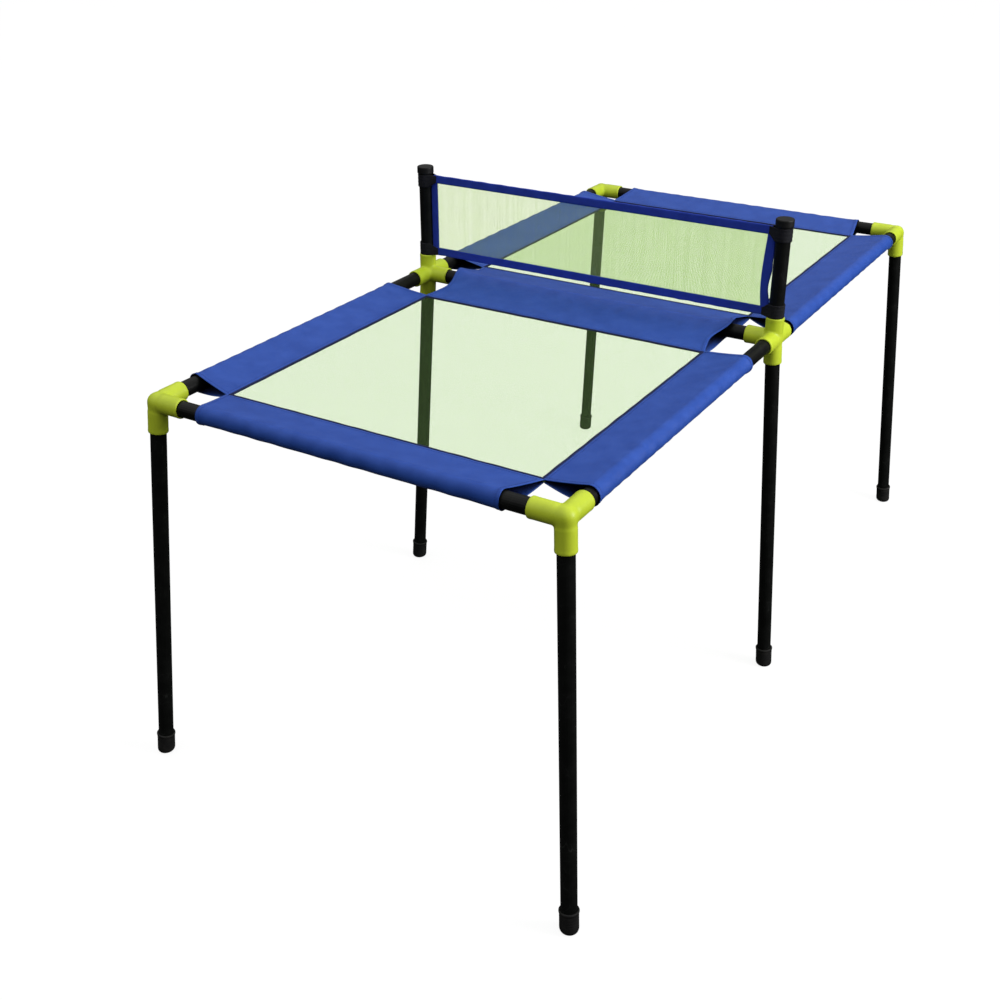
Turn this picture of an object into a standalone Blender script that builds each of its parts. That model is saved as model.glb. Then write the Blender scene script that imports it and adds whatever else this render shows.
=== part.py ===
"""A knock-down table tennis table for children, with its net.

Black tubes push into lime plastic connectors. Blue fabric sleeves on the tubes carry two mesh
playing surfaces, and a net hangs between two posts that stand in the middle connectors.
Units are metres, +Z is up and the floor is z = 0. X runs across the table, Y along it.
"""
import math

import bmesh
import bpy
from mathutils import Matrix, Vector

# Driving sizes
HALF_WIDTH = 0.310          # centre line to the side tubes' axes
HALF_LENGTH = 0.645         # net line to the end tubes' axes
TUBE_HEIGHT = 0.574         # floor to the axes of the frame tubes
LEG_SPLAY = math.radians(4.1)
GAP = 0.0003                # clearance between pieces that touch
SIDES = 24                  # facets round every turned piece
ROUND_STEPS = 4             # facets round the edge of a foot or cap
ARC_STEPS = 8               # facets of cloth in a quarter turn round a tube
SHARP = math.radians(35)    # edges bent more than this stay sharp
MERGE = 1e-5                # points nearer than this are one point

# Tubes
TUBE_R = 0.011
TUBE_WALL = 0.0008

# Connectors
ARM_R = 0.0135
CORNER_ARM = 0.045          # centre to mouth, the frame arms of a corner connector
CORNER_LEG_ARM = 0.043      # centre to mouth, the leg arm of a corner connector
MIDDLE_ARM = 0.042          # centre to mouth, the frame arms of a middle connector
MIDDLE_LEG_ARM = 0.038      # centre to mouth, the leg arm of a middle connector
POST_ARM = 0.034            # centre to mouth, the short arm that takes a net post
BALL_R = 0.0147
SOCKET_FLOOR = 0.0150       # centre to the inner end of each socket
MOUTH_CHAMFER = 0.0008

# Feet and caps
FOOT_R = 0.0130
FOOT_HEIGHT = 0.034
FOOT_FLOOR = 0.005          # rubber under the tube's end
FOOT_ROUND = 0.004
FOOT_TRIM = 0.0015          # rubber past the floor before the foot is cut flat
CAP_R = 0.0135
CAP_HEIGHT = 0.0125
CAP_TOP = 0.0035
POST_TOP = 0.182            # tube axes to the top of the post caps

# Fabric sleeves and playing surfaces
CLOTH = 0.0008              # thickness of one layer
POCKET_R = TUBE_R + 0.0005  # inside of the pocket round a tube
SEAM_HALF = 0.0009          # half the thickness where the layers meet at the seam
SEAM_ALLOWANCE = 0.008      # width of the stitched edge
SEAM_GAP_SHARE = 1 / 6      # half the gap between the layers there, as a share of SEAM_HALF
BAND = 0.066                # tube axis to seam, round the outside
MIDDLE_FRONT = 0.105        # middle tube axis to the front half's seam
MIDDLE_REAR = 0.072         # middle tube axis to the rear half's seam
END_SLEEVE_CUT = 0.078      # corner to the end of the front or rear sleeve, on the tube
SIDE_SLEEVE_CUT = 0.072     # corner to the end of a side sleeve, on the tube
MIDDLE_SLEEVE_CUT = 0.076   # middle connector to the end of the middle sleeve, on the tube
SIDE_CUT_FRONT = 0.114      # middle connector to the end of a front side sleeve, on the tube
SIDE_CUT_REAR = 0.060       # middle connector to the end of a rear side sleeve, on the tube
MESH_HALF = 0.0005          # half the thickness of the mesh

# Net, heights above the tube axes
NET_TOP = 0.169
NET_BOTTOM = 0.034
TAPE_HEIGHT = 0.013
TAPE_HALF = 0.0012
END_TAPE_INNER = 0.0230     # post axis to the inner edge of an end tape
END_TAPE_OUTER = 0.0115     # post axis to the outer edge of an end tape
STRAP_HEIGHT = 0.021
STRAP_REACH = 0.0205        # post axis to the stitched end of a strap
STRAP_INNER_R = TUBE_R + GAP
STRAP_CLOTH = 0.0012
STRAP_ALLOWANCE = 0.004

# Colour, roughness and metallic value of each material
FINISHES = {
    "lime_plastic": ((0.60, 0.72, 0.04, 1.0), 0.38, 0.0),
    "black_tube": ((0.012, 0.013, 0.012, 1.0), 0.35, 0.0),
    "black_rubber": ((0.010, 0.010, 0.010, 1.0), 0.60, 0.0),
    "black_plastic": ((0.012, 0.012, 0.012, 1.0), 0.45, 0.0),
    "blue_fabric": ((0.045, 0.095, 0.42, 1.0), 0.80, 0.0),
    "lime_mesh": ((0.45, 0.68, 0.20, 1.0), 0.80, 0.0),
    "navy_tape": ((0.012, 0.016, 0.11, 1.0), 0.80, 0.0),
    "black_webbing": ((0.010, 0.011, 0.015, 1.0), 0.85, 0.0),
}

SPLAY = math.tan(LEG_SPLAY)
CORNER_LEG = Vector((-SPLAY, -SPLAY, -1.0)).normalized()
MIDDLE_LEG = Vector((-SPLAY, 0.0, -1.0)).normalized()
FRONT = Vector((0.0, -1.0, 0.0))
REAR = Vector((0.0, 1.0, 0.0))
RIGHT = Vector((1.0, 0.0, 0.0))
UP = Vector((0.0, 0.0, 1.0))


def clear_scene():
    for obj in list(bpy.data.objects):
        bpy.data.objects.remove(obj, do_unlink=True)


def material(finish):
    """The Principled material of a finish, made once."""
    found = bpy.data.materials.get(finish)
    if found:
        return found
    colour, roughness, metallic = FINISHES[finish]
    made = bpy.data.materials.new(finish)
    made.use_nodes = True
    shader = made.node_tree.nodes["Principled BSDF"]
    shader.inputs["Base Color"].default_value = colour
    shader.inputs["Roughness"].default_value = roughness
    shader.inputs["Metallic"].default_value = metallic
    return made


def finish_mesh(bm, name, finish):
    """Turn a bmesh into a shaded mesh with one material."""
    bmesh.ops.recalc_face_normals(bm, faces=bm.faces)
    mesh = bpy.data.meshes.new(name)
    bm.to_mesh(mesh)
    bm.free()
    mesh.shade_smooth()
    mesh.set_sharp_from_angle(angle=SHARP)
    mesh.materials.append(material(finish))
    return mesh


def place(name, mesh, parent=None, matrix=Matrix()):
    """Put a mesh in the scene as the node of that name."""
    obj = bpy.data.objects.new(name, mesh)
    bpy.context.scene.collection.objects.link(obj)
    obj.parent = parent
    obj.location = matrix.translation
    obj.rotation_mode = "QUATERNION"
    obj.rotation_quaternion = matrix.to_quaternion()
    return obj


def empty(name, location, turn=0.0):
    """A frame at a joint of the tubes; turn is its rotation about Z in degrees."""
    obj = bpy.data.objects.new(name, None)
    bpy.context.scene.collection.objects.link(obj)
    obj.location = location
    obj.rotation_euler.z = math.radians(turn)
    return obj


def along(direction, start=0.0):
    """The matrix that lays a piece's Z axis along a direction, start metres from the centre."""
    turn = Vector(direction).to_track_quat("Z", "Y").to_matrix().to_4x4()
    return Matrix.Translation(Vector(direction) * start) @ turn


def turned(profile, closed=True):
    """A bmesh turned about Z from (radius, height) points; an open profile ends on the axis."""
    bm = bmesh.new()
    points = [bm.verts.new((r, 0.0, z)) for r, z in profile]
    edges = [bm.edges.new(pair) for pair in zip(points, points[1:])]
    if closed:
        edges.append(bm.edges.new((points[-1], points[0])))
    bmesh.ops.spin(bm, geom=points + edges, axis=UP, cent=(0, 0, 0), dvec=(0, 0, 0),
                   angle=math.tau, steps=SIDES, use_merge=True)
    bmesh.ops.remove_doubles(bm, verts=bm.verts, dist=MERGE)
    return bm


def rounded_edge(radius, height, rounding):
    """Profile points that round off the rim of a disc-shaped end."""
    points = []
    for step in range(ROUND_STEPS + 1):
        angle = math.pi / 2 * step / ROUND_STEPS
        points.append((radius - rounding * (1 - math.cos(angle)),
                       height - rounding * (1 - math.sin(angle))))
    return points


def tube_mesh(name, length):
    """An open-ended tube standing on z = 0."""
    inner = TUBE_R - TUBE_WALL
    bm = turned([(inner, 0.0), (TUBE_R, 0.0), (TUBE_R, length), (inner, length)])
    return finish_mesh(bm, name, "black_tube")


# Connectors -----------------------------------------------------------------

def arm(direction, length):
    """A round arm along a direction, solid at the centre and socketed from SOCKET_FLOOR out."""
    bore = TUBE_R + GAP
    bm = turned([(0.0, SOCKET_FLOOR), (bore, SOCKET_FLOOR), (bore, length),
                 (ARM_R - MOUTH_CHAMFER, length), (ARM_R, length - MOUTH_CHAMFER), (ARM_R, 0.0),
                 (0.0, 0.0)], closed=False)
    bm.transform(along(direction))
    return bm


def ball(radius):
    bm = bmesh.new()
    bmesh.ops.create_uvsphere(bm, u_segments=SIDES, v_segments=SIDES // 2, radius=radius)
    return bm


def connector_mesh(name, arms):
    """A moulded connector with one socketed arm for each (direction, length)."""
    core = place(name + "_core", finish_mesh(ball(BALL_R), name + "_core", "lime_plastic"))
    tools = []
    for direction, length in arms:
        mesh = finish_mesh(arm(direction, length), name + "_arm", "lime_plastic")
        tool = place(name + "_arm", mesh)
        tool.hide_render = True
        tool.display_type = "WIRE"
        union = core.modifiers.new("arm", "BOOLEAN")
        union.operation = "UNION"
        union.object = tool
        tools.append(tool)
    evaluated = core.evaluated_get(bpy.context.evaluated_depsgraph_get())
    mesh = bpy.data.meshes.new_from_object(evaluated)
    mesh.name = name
    for obj in (core, *tools):
        bpy.data.objects.remove(obj, do_unlink=True)
    return mesh


# Legs and feet --------------------------------------------------------------

def foot_mesh(name, direction):
    """A rubber foot over the end of a leg, cut flat where it stands on the floor."""
    floor_at = TUBE_HEIGHT / -direction.z
    inside = floor_at - FOOT_FLOOR + GAP
    top = floor_at - FOOT_HEIGHT
    below = floor_at + FOOT_TRIM
    bore = TUBE_R + GAP
    profile = [(0.0, inside), (bore, inside), (bore, top), (FOOT_R, top)]
    profile += rounded_edge(FOOT_R, below, FOOT_ROUND)
    profile.append((0.0, below))
    bm = turned(profile, closed=False)
    bm.transform(along(direction))
    cut = bmesh.ops.bisect_plane(bm, geom=bm.verts[:] + bm.edges[:] + bm.faces[:],
                                 plane_co=(0, 0, -TUBE_HEIGHT), plane_no=(0, 0, -1),
                                 clear_outer=True)
    rim = [item for item in cut["geom_cut"] if isinstance(item, bmesh.types.BMEdge)]
    bmesh.ops.edgeloop_fill(bm, edges=rim)
    return finish_mesh(bm, name, "black_rubber")


def leg_set(frame, direction, tube, foot, suffix):
    place("leg_" + suffix, tube, frame, along(direction, SOCKET_FLOOR + GAP))
    place("foot_" + suffix, foot, frame)


def legs_and_connectors():
    floor_at = TUBE_HEIGHT / -CORNER_LEG.z
    corner_tube = tube_mesh("leg", floor_at - FOOT_FLOOR - SOCKET_FLOOR - GAP)
    middle_tube = tube_mesh("middle_leg",
                            TUBE_HEIGHT / -MIDDLE_LEG.z - FOOT_FLOOR - SOCKET_FLOOR - GAP)
    corner_foot = foot_mesh("corner_foot", CORNER_LEG)
    middle_foot = foot_mesh("middle_foot", MIDDLE_LEG)
    corner = connector_mesh("corner_connector",
                            [(RIGHT, CORNER_ARM), (REAR, CORNER_ARM),
                             (CORNER_LEG, CORNER_LEG_ARM)])
    middle = connector_mesh("middle_connector",
                            [(RIGHT, MIDDLE_ARM), (REAR, MIDDLE_ARM), (FRONT, MIDDLE_ARM),
                             (MIDDLE_LEG, MIDDLE_LEG_ARM), (UP, POST_ARM)])
    corners = [("front_left", -1, -1, 0), ("front_right", 1, -1, 90),
               ("rear_right", 1, 1, 180), ("rear_left", -1, 1, 270)]
    for suffix, side, end, turn in corners:
        frame = empty("corner_" + suffix, (side * HALF_WIDTH, end * HALF_LENGTH, TUBE_HEIGHT), turn)
        place("connector_" + suffix, corner, frame)
        leg_set(frame, CORNER_LEG, corner_tube, corner_foot, suffix)
    for suffix, side, turn in (("middle_left", -1, 0), ("middle_right", 1, 180)):
        frame = empty("middle_" + suffix, (side * HALF_WIDTH, 0.0, TUBE_HEIGHT), turn)
        place("connector_" + suffix, middle, frame)
        leg_set(frame, MIDDLE_LEG, middle_tube, middle_foot, suffix)


# Frame tubes ----------------------------------------------------------------

def frame_tubes():
    inset = SOCKET_FLOOR + GAP
    rail = tube_mesh("side_rail", HALF_LENGTH - 2 * inset)
    cross = tube_mesh("cross_tube", 2 * (HALF_WIDTH - inset))
    for side, side_name in ((-1, "left"), (1, "right")):
        for start, end_name in ((-HALF_LENGTH + inset, "front"), (inset, "rear")):
            at = Matrix.Translation((side * HALF_WIDTH, start, TUBE_HEIGHT)) @ along(REAR)
            place(f"side_rail_{end_name}_{side_name}", rail, matrix=at)
    for y, end_name in ((-HALF_LENGTH, "front"), (0.0, "middle"), (HALF_LENGTH, "rear")):
        at = Matrix.Translation((-HALF_WIDTH + inset, y, TUBE_HEIGHT)) @ along(RIGHT)
        place("cross_tube_" + end_name, cross, matrix=at)


# Fabric ---------------------------------------------------------------------

def pocket_outline(radius, reaches, tip_half):
    """Outline of cloth pulled tight over a tube and out to a seam on one or both sides.

    It lies in (across, up). reaches holds the distance to the seam on the + and - sides, None
    where the cloth just turns round the tube.
    """
    points = []
    for side, reach in zip((1, -1), reaches):
        if reach is None:
            for k in range(1, 2 * ARC_STEPS):
                angle = math.pi / 2 * k / ARC_STEPS
                points.append((side * radius * math.sin(angle), -radius * math.cos(angle)))
            continue
        lean = math.asin((radius - tip_half) / reach)
        flank = []
        for k in range(ARC_STEPS // 2 + 1):
            angle = math.pi / 2 - lean * k / (ARC_STEPS // 2)
            flank.append((side * radius * math.cos(angle), radius * math.sin(angle)))
        flank.append((side * reach, tip_half))
        lower = [(x, -z) for x, z in reversed(flank)]
        points += flank + lower if side == 1 else list(reversed(flank + lower))
    clean = [points[0]]
    for point in points[1:]:
        if math.dist(point, clean[-1]) > MERGE:
            clean.append(point)
    if math.dist(clean[0], clean[-1]) < MERGE:
        clean.pop()
    return clean


def pocket(name, reaches, ends, cloth, radius, tip_half, allowance, finish, matrix):
    """A cloth pocket along X: reaches as in pocket_outline, ends(across) gives its two x limits."""
    outer = pocket_outline(radius + cloth, reaches, tip_half)
    inner = pocket_outline(radius, [r and r - allowance for r in reaches],
                           tip_half * SEAM_GAP_SHARE)
    bm = bmesh.new()
    rings = []
    for outline in (outer, inner):
        for which in (0, 1):
            rings.append([bm.verts.new((ends(v)[which], v, z)) for v, z in outline])
    count = len(outer)
    outer_low, outer_high, inner_low, inner_high = rings
    pairs = ((outer_low, outer_high), (outer_high, inner_high), (inner_high, inner_low),
             (inner_low, outer_low))
    for a, b in pairs:
        for k in range(count):
            n = (k + 1) % count
            bm.faces.new((a[k], a[n], b[n], b[k]))
    bm.transform(matrix)
    return place(name, finish_mesh(bm, name, finish))


def slanted(low_tube, low_seam, high_tube, high_seam, reach):
    """Ends of a sleeve that run in a straight cut from the tube to the seam at reach."""
    def ends(across):
        share = min(max(across / reach, 0.0), 1.0)
        return (low_tube + (low_seam - low_tube) * share,
                high_tube + (high_seam - high_tube) * share)
    return ends


def sleeve(name, reaches, ends, origin, turn):
    """A blue sleeve; its local X runs along the tube and local +Y towards the playing surface."""
    matrix = Matrix.Translation(origin) @ Matrix.Rotation(math.radians(turn), 4, "Z")
    pocket(name, reaches, ends, CLOTH, POCKET_R, SEAM_HALF, SEAM_ALLOWANCE, "blue_fabric", matrix)


def sleeves():
    across_tube = HALF_WIDTH - END_SLEEVE_CUT
    across_seam = HALF_WIDTH - BAND - GAP
    ends = slanted(-across_tube, -across_seam, across_tube, across_seam, BAND)
    sleeve("sleeve_front", (BAND, None), ends, (0, -HALF_LENGTH, TUBE_HEIGHT), 0)
    sleeve("sleeve_rear", (BAND, None), ends, (0, HALF_LENGTH, TUBE_HEIGHT), 180)

    outer_tube = HALF_LENGTH - SIDE_SLEEVE_CUT
    outer_seam = HALF_LENGTH - BAND - GAP
    cuts = (("front", SIDE_CUT_FRONT, MIDDLE_FRONT), ("rear", SIDE_CUT_REAR, MIDDLE_REAR))
    for end_name, cut_tube, cut_seam in cuts:
        near = (cut_tube, cut_seam + GAP)
        far = (outer_tube, outer_seam)
        for side_name, x, turn in (("left", -HALF_WIDTH, -90), ("right", HALF_WIDTH, 90)):
            runs_forward = (end_name == "front") == (side_name == "left")
            low, high = (near, far) if runs_forward else ([-v for v in far], [-v for v in near])
            ends = slanted(*low, *high, BAND)
            sleeve(f"sleeve_{end_name}_{side_name}", (BAND, None), ends, (x, 0, TUBE_HEIGHT), turn)

    tube_end = HALF_WIDTH - MIDDLE_SLEEVE_CUT

    def middle_ends(across):
        reach = MIDDLE_REAR if across > 0 else MIDDLE_FRONT
        limit = tube_end + (across_seam - tube_end) * min(abs(across) / reach, 1.0)
        return -limit, limit
    sleeve("sleeve_middle", (MIDDLE_REAR, MIDDLE_FRONT), middle_ends, (0, 0, TUBE_HEIGHT), 0)


def plate(name, low, high, finish):
    """A thin flat piece between two corners."""
    bm = bmesh.new()
    bmesh.ops.create_cube(bm, size=1.0)
    size = Vector(high) - Vector(low)
    bm.transform(Matrix.Translation((Vector(low) + Vector(high)) / 2) @ Matrix.Diagonal((*size, 1)))
    return place(name, finish_mesh(bm, name, finish))


def playing_surfaces():
    x = HALF_WIDTH - BAND - GAP
    for end_name, near, far in (("front", -MIDDLE_FRONT, -HALF_LENGTH + BAND),
                                ("rear", MIDDLE_REAR, HALF_LENGTH - BAND)):
        low_y, high_y = sorted((near, far))
        plate("play_mesh_" + end_name, (-x, low_y + GAP, TUBE_HEIGHT - MESH_HALF),
              (x, high_y - GAP, TUBE_HEIGHT + MESH_HALF), "lime_mesh")


# Net and posts --------------------------------------------------------------

def net_posts():
    cap_floor = CAP_HEIGHT - CAP_TOP
    bore = TUBE_R + GAP
    tube = tube_mesh("net_post", POST_TOP - CAP_TOP - SOCKET_FLOOR - 2 * GAP)
    profile = [(0.0, cap_floor), (bore, cap_floor), (bore, 0.0), (CAP_R, 0.0)]
    profile += rounded_edge(CAP_R, CAP_HEIGHT, CAP_TOP)
    profile.append((0.0, CAP_HEIGHT))
    cap = finish_mesh(turned(profile, closed=False), "post_cap", "black_plastic")
    for side, side_name in ((-1, "left"), (1, "right")):
        x = side * HALF_WIDTH
        frame = empty("post_" + side_name, (x, 0.0, TUBE_HEIGHT))
        place("net_post_" + side_name, tube, frame, Matrix.Translation((0, 0, SOCKET_FLOOR + GAP)))
        place("post_cap_" + side_name, cap, frame, Matrix.Translation((0, 0, POST_TOP - CAP_HEIGHT)))


def net_straps():
    """Webbing loops that hold the net's four corners to the posts."""
    heights = {"top": POST_TOP - CAP_HEIGHT - GAP - STRAP_HEIGHT, "bottom": POST_ARM + GAP}
    upright = Matrix.Rotation(math.radians(-90), 4, "Y")

    def ends(across):
        return 0.0, STRAP_HEIGHT
    for side, side_name, turn in ((-1, "left", -90), (1, "right", 90)):
        for level, height in heights.items():
            matrix = (Matrix.Translation((side * HALF_WIDTH, 0, TUBE_HEIGHT + height))
                      @ Matrix.Rotation(math.radians(turn), 4, "Z") @ upright)
            pocket(f"net_strap_{level}_{side_name}", (STRAP_REACH, None), ends, STRAP_CLOTH,
                   STRAP_INNER_R, TAPE_HALF, STRAP_ALLOWANCE, "black_webbing", matrix)


def net():
    top, bottom = TUBE_HEIGHT + NET_TOP, TUBE_HEIGHT + NET_BOTTOM
    strap_end = HALF_WIDTH - STRAP_REACH - GAP
    inner = HALF_WIDTH - END_TAPE_INNER
    outer = HALF_WIDTH - END_TAPE_OUTER
    plate("net_tape_top", (-strap_end, -TAPE_HALF, top - TAPE_HEIGHT), (strap_end, TAPE_HALF, top),
          "navy_tape")
    plate("net_tape_bottom", (-strap_end, -TAPE_HALF, bottom),
          (strap_end, TAPE_HALF, bottom + TAPE_HEIGHT), "navy_tape")
    low = TUBE_HEIGHT + POST_ARM + STRAP_HEIGHT + 2 * GAP
    high = TUBE_HEIGHT + POST_TOP - CAP_HEIGHT - STRAP_HEIGHT - 2 * GAP
    for side, side_name in ((-1, "left"), (1, "right")):
        low_x, high_x = sorted((side * inner, side * outer))
        plate("net_tape_" + side_name, (low_x, -TAPE_HALF, low), (high_x, TAPE_HALF, high),
              "navy_tape")
    plate("net_mesh", (-inner + GAP, -MESH_HALF, bottom + TAPE_HEIGHT + GAP),
          (inner - GAP, MESH_HALF, top - TAPE_HEIGHT - GAP), "lime_mesh")


def main():
    clear_scene()
    legs_and_connectors()
    frame_tubes()
    sleeves()
    playing_surfaces()
    net_posts()
    net_straps()
    net()


main()
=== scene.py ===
"""Looks for the children's table tennis table: moulded joints, tubes, cloth, mesh, net and studio.

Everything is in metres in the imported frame: +Z is up, X runs across the table and Y along it.
"""

import math

import bpy
import numpy as np
from mathutils import Matrix, Vector


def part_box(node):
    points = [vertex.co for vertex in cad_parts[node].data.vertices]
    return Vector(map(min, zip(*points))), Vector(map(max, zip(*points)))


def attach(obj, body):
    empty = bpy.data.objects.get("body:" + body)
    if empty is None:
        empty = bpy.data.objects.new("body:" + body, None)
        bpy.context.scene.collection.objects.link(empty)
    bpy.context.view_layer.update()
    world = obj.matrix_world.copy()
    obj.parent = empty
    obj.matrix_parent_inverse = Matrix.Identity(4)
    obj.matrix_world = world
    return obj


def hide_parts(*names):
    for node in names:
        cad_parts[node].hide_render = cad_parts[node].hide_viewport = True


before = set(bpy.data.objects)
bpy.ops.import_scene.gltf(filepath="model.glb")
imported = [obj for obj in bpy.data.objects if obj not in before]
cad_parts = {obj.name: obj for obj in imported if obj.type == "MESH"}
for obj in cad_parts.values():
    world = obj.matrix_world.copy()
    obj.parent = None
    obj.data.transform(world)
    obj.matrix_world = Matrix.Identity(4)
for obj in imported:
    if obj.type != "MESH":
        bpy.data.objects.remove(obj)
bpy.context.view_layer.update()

MM = 0.001
X, Y, Z = np.eye(3)


def centre(node):
    low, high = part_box(node)
    return (low + high) / 2


# Where the CAD frame is
HALF_WIDTH = centre("side_rail_front_right").x
HALF_LENGTH = centre("cross_tube_rear").y
TUBE_Z = centre("cross_tube_middle").z
TUBE_R = (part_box("cross_tube_front")[1].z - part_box("cross_tube_front")[0].z) / 2
LEG_SPLAY = math.tan(math.radians(4.1))

# Moulded connectors
ARM_R = 13.5 * MM
SOCKET_FLOOR = 15 * MM
SOCKET_R = TUBE_R + 0.3 * MM
CORNER_ARM = 45 * MM             # centre to mouth
CORNER_LEG_ARM = 43 * MM
MIDDLE_ARM = 42 * MM
MIDDLE_LEG_ARM = 38 * MM
POST_ARM = 34 * MM
CROTCH = 4 * MM                  # how softly two arms flow into each other
JOINT_MARGIN = 18 * MM           # room left round a joint's tips for its walls
MOUTH_ROUND = 1.2 * MM           # rounding of every moulded mouth
SOCKET_ROUND = 0.8 * MM
JOINT_LIP = 0.2 * MM

# Feet
FOOT_R = 13 * MM
FOOT_HEIGHT = 34 * MM
FOOT_EXTRA = 3 * MM              # rubber past the floor before the foot is cut flat
FOOT_SOLE = 6 * MM               # end of the rubber to the end of its leg
FOOT_ROUND = 7 * MM
FOOT_LIP = 0.7 * MM
FOOT_GRIPS = (12 * MM, 16 * MM, 20 * MM)          # shallow grooves, below the mouth

# Post caps
CAP_WALL = 3.6 * MM
CAP_DISH_R = 40.5 * MM           # the top is a little hollow
CAP_DISH_DEPTH = 0.5 * MM

# Spacing of the points on moulded surfaces
JOINT_CELL = 0.9 * MM
FOOT_CELL = 0.8 * MM
CAP_CELL = 0.7 * MM

# Cloth
POCKET_R = TUBE_R + 1.5 * MM     # outside of a sleeve round its tube
CLOTH = 0.7 * MM
SEAM_HALF = 0.9 * MM
SEAM_INSET = 5 * MM              # seam to its stitching
HEM = 7 * MM                     # cloth turned in at the open ends
BAND = 66 * MM                   # tube axis to seam, round the outside
MIDDLE_FRONT = 105 * MM          # middle tube to the front half's seam
MIDDLE_REAR = 72 * MM            # middle tube to the rear half's seam
BINDING_IN = 1.3 * MM            # sleeve edge to the middle of the binding, over the mesh
CORNER_LAP = 3 * MM              # sleeves run this far past the mesh corner and are tacked there
MIDDLE_CUT = 76 * MM             # middle connector to the end of the middle sleeve
MIDDLE_CURVE = 12 * MM           # how far its upper layer bulges past that
MIDDLE_ARCH = 4.5 * MM           # how far its open ends stand up over the tube
SLACK_TOP = -0.9 * MM            # a sleeve's upper layer dips, its lower one hangs
SLACK_BELOW = 1.6 * MM
FLARE = 1.2 * MM                 # open ends spread a little
WAVE = 0.6 * MM                  # height of the soft waves, of the puckers at a seam,
PUCKER = 0.22 * MM               # of the folds near an open end
FOLD = 0.8 * MM
HEM_STEP = 0.35 * MM             # and of the doubled cloth of a hem
HEM_STITCH = (2.7 * MM, 3.6 * MM)                 # length and spacing
SEAM_SPACING = 3.7 * MM

# Playing surfaces
MESH_TUCK = 5 * MM               # mesh that runs on between the two layers of a sleeve
MESH_SAG = 2.6 * MM
BINDING_STEP = 4 * MM
BINDING_HALF = (2.5 * MM, 1.5 * MM)               # half width and half height
RING = 10                        # points round the binding
END_CUT = {"front": 80 * MM, "rear": 75 * MM}      # corner to the end of a front or rear sleeve
SIDE_NEAR = {"front_left": 113 * MM, "front_right": 118 * MM,    # middle connector to the end
             "rear_left": 72 * MM, "rear_right": 51 * MM}        # of a side sleeve
SIDE_FAR = {"front_left": 76 * MM, "front_right": 58 * MM,       # corner to its other end
            "rear_left": 72 * MM, "rear_right": 72 * MM}

# Net, heights above the tube axes
NET_TOP = 169 * MM
NET_BOTTOM = 34 * MM
TAPE = 13 * MM                   # height of the top and bottom tapes
TAPE_HALF = 1.2 * MM
END_TAPE = 11.5 * MM             # width of the upright tapes
TAPE_INNER = 23 * MM             # post axis to the inner edge of an end tape
TAPE_LAP = 4 * MM                # top and bottom tapes run this far over the straps
TAPE_STITCH = 2.4 * MM
TAPE_STITCH_INSET = 2.2 * MM
STRAP = 21 * MM                  # height of a strap
STRAP_R = TUBE_R + 1.7 * MM      # outside of a strap round its post
STRAP_REACH = 20.5 * MM          # post axis to a strap's sewn end
STRAP_LAP = 1.5 * MM
STRAP_NARROWS = 9 * MM           # post axis to where a strap starts to narrow
STRAP_HEM = 0.4 * MM
BOW = {-1: 0.3 * MM, 1: 4.5 * MM}                 # how far each end tape's inner edge is drawn in
STAND_OFF = {-1: 0.0, 1: 3.8 * MM}                # how far its outer edge leaves the post
NET_TUCK = 5 * MM
NET_HEM = 6 * MM
POST_TOP = 182 * MM              # top of the post caps
CAP = 12.5 * MM                  # height of a cap


# Materials ------------------------------------------------------------------

class Shader:
    """A material's node tree, built a node at a time."""

    def __init__(self, name):
        self.material = bpy.data.materials.new(name)
        self.material.use_nodes = True
        self.tree = self.material.node_tree
        self.surface = self.tree.nodes["Principled BSDF"]
        self.output = self.tree.nodes["Material Output"]

    def node(self, kind, *inputs, out=0, **settings):
        """Add a node. inputs are (socket, value or output socket); returns its output."""
        made = self.tree.nodes.new("ShaderNode" + kind)
        for key, value in settings.items():
            setattr(made, key, value)
        for socket, value in inputs:
            self.set(made, socket, value)
        return made.outputs[out]

    def set(self, node, socket, value):
        if isinstance(value, bpy.types.NodeSocket):
            self.tree.links.new(value, node.inputs[socket])
        else:
            node.inputs[socket].default_value = value

    def principled(self, **values):
        for socket, value in values.items():
            self.set(self.surface, socket.replace("_", " "), value)

    def math(self, operation, a, b=0.0, c=0.0):
        return self.node("Math", (0, a), (1, b), (2, c), operation=operation)

    def wave(self, operation, turns):
        """Sine or cosine of an angle in turns, brought into one turn so that it stays exact."""
        return self.math(operation, self.math("MULTIPLY", self.math("FRACT", turns), math.tau))

    def noise(self, vector, scale, detail=3.0, rough=0.55):
        return self.node("TexNoise", ("Vector", vector), ("Scale", scale), ("Detail", detail),
                         ("Roughness", rough))

    def span(self, value, low, high, to_low=0.0, to_high=1.0, curve="LINEAR"):
        return self.node("MapRange", ("Value", value), ("From Min", low), ("From Max", high),
                         ("To Min", to_low), ("To Max", to_high), interpolation_type=curve)

    def mix(self, share, a, b):
        return self.node("Mix", (0, share), (6, a), (7, b), out=2, data_type="RGBA")

    def bump(self, height, distance, strength=1.0, normal=None):
        inputs = [("Height", height), ("Distance", distance), ("Strength", strength)]
        if normal is not None:
            inputs.append(("Normal", normal))
        return self.node("Bump", *inputs)

    def place(self):
        """Position on the object, in metres."""
        return self.node("TexCoord", out=3)

    def cloth_place(self):
        """Position on the flat cloth, in metres."""
        return self.node("TexCoord", out=2)


def srgb(*levels):
    """A colour given as 0-255 screen levels."""
    parts = [v / 255 for v in levels]
    return tuple(p / 12.92 if p <= 0.04045 else ((p + 0.055) / 1.055) ** 2.4 for p in parts) + (1.0,)


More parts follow.
